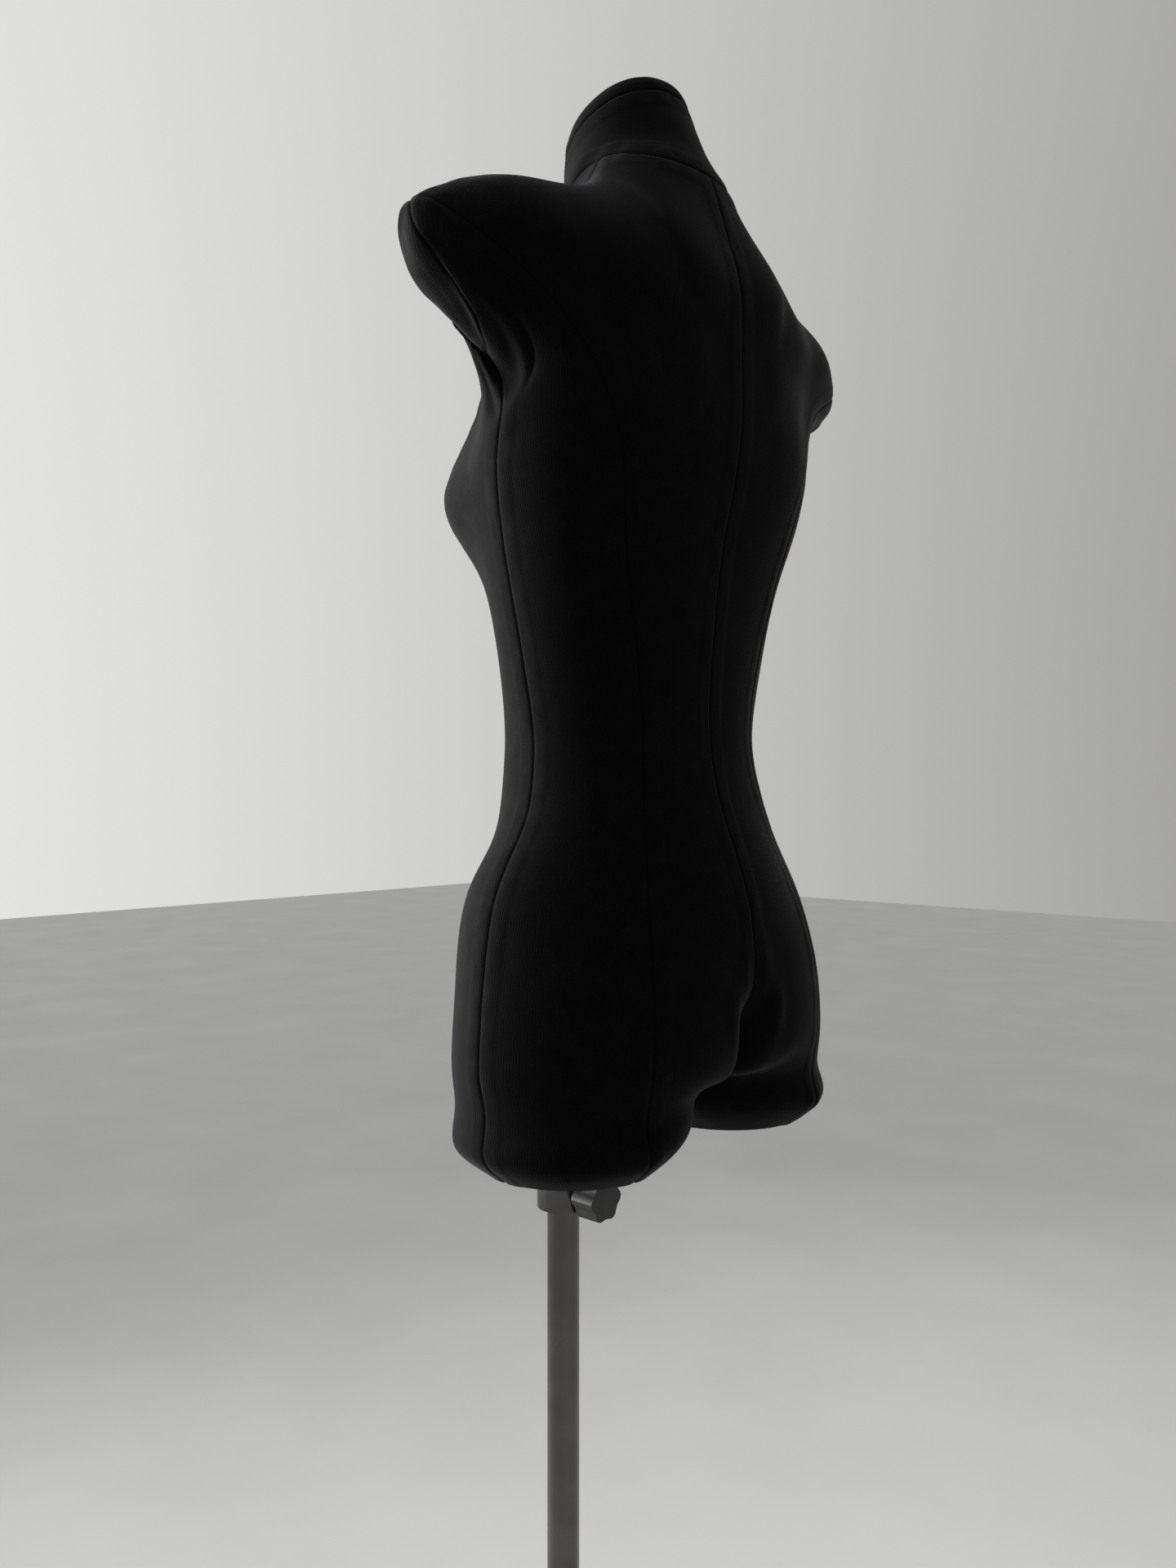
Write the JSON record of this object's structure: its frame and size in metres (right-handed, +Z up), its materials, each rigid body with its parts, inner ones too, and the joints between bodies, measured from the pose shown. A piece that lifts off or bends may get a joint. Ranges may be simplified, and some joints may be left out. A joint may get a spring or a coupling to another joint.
{
  "type": "dress form mannequin",
  "caption": "Female torso dress form in black jersey panels with neck cap, arm plates and cut-off thighs, held off-centre through one thigh on a telescopic steel pole with a round base.",
  "frame": {"origin": "on the floor, under the middle of the whole object; the pole stands at x = 0.068 m, y = 0", "axes": "+Z up; the form faces -Y at rest, so +X is the form's own left side"},
  "size_m": [0.4766, 0.34, 1.5005],
  "materials": {
    "jersey": "matte fine knit, slightly fuzzy",
    "moulded_shell": "moulded, unpainted",
    "board": "plain plywood",
    "stainless": "polished stainless",
    "zinc": "zinc plated",
    "nylon": "natural nylon",
    "knob": "black moulded",
    "rubber": "black rubber"
  },
  "bodies": {
    "stand": {"base_plate": "stainless", "foot_pad_1": "rubber", "foot_pad_2": "rubber", "foot_pad_3": "rubber", "foot_pad_4": "rubber", "base_boss": "stainless", "base_screw": "zinc", "lower_tube": "stainless", "height_collar": "stainless"},
    "mast": {"upper_tube": "stainless", "pole_top_plug": "nylon", "pole_bottom_glide": "nylon"},
    "form": {"back_cover_left": "jersey", "back_cover_right": "jersey", "side_back_cover_left": "jersey", "side_back_cover_right": "jersey", "side_front_cover_left": "jersey", "side_front_cover_right": "jersey", "front_cover_left": "jersey", "front_cover_right": "jersey", "neck_cover": "jersey", "neck_cap_cover": "jersey", "arm_cap_cover_left": "jersey", "arm_cap_cover_right": "jersey", "thigh_cover_left": "jersey", "thigh_cover_right": "jersey", "torso_shell_back": "moulded_shell", "torso_shell_front": "moulded_shell", "neck_cap_board": "board", "arm_cap_board_left": "board", "arm_cap_board_right": "board", "thigh_board_left": "board", "thigh_board_right": "board", "thigh_socket": "zinc", "socket_screw_1": "zinc", "socket_screw_2": "zinc", "socket_screw_3": "zinc", "socket_screw_4": "zinc"},
    "height_pad": {"height_clamp_pad": "nylon"},
    "height_screw": {"height_clamp_screw": "zinc", "height_clamp_knob": "knob"},
    "socket_pad": {"socket_clamp_pad": "nylon"},
    "socket_screw": {"socket_clamp_screw": "zinc", "socket_clamp_knob": "knob"}
  },
  "joints": [
    {"name": "height_slide", "type": "slide", "parent": "stand", "child": "mast", "axis": [0, 0, 1], "range_m": [-0.105, 0.13]},
    {"name": "form_turn", "type": "hinge", "parent": "mast", "child": "form", "pos_m": [0.06825, 0, 0.74], "axis": [0, 0, 1], "continuous": true},
    {"name": "height_pad_slide", "type": "slide", "parent": "stand", "child": "height_pad", "axis": [0, 1, 0], "range_m": [0, 0.0026]},
    {"name": "height_screw_turn", "type": "hinge", "parent": "height_pad", "child": "height_screw", "pos_m": [0.06825, 0.02, 0.4252], "axis": [0, 1, 0], "range_deg": [0, 720]},
    {"name": "socket_pad_slide", "type": "slide", "parent": "form", "child": "socket_pad", "axis": [0, 1, 0], "range_m": [0, 0.0026]},
    {"name": "socket_screw_turn", "type": "hinge", "parent": "socket_pad", "child": "socket_screw", "pos_m": [0.06825, 0.02, 0.718], "axis": [0, 1, 0], "range_deg": [0, 720]}
  ],
  "couplings": [
    {"joint": "height_pad_slide", "follows": "height_screw_turn", "m_per_rad": 0.00019894},
    {"joint": "socket_pad_slide", "follows": "socket_screw_turn", "m_per_rad": 0.00019894}
  ]
}
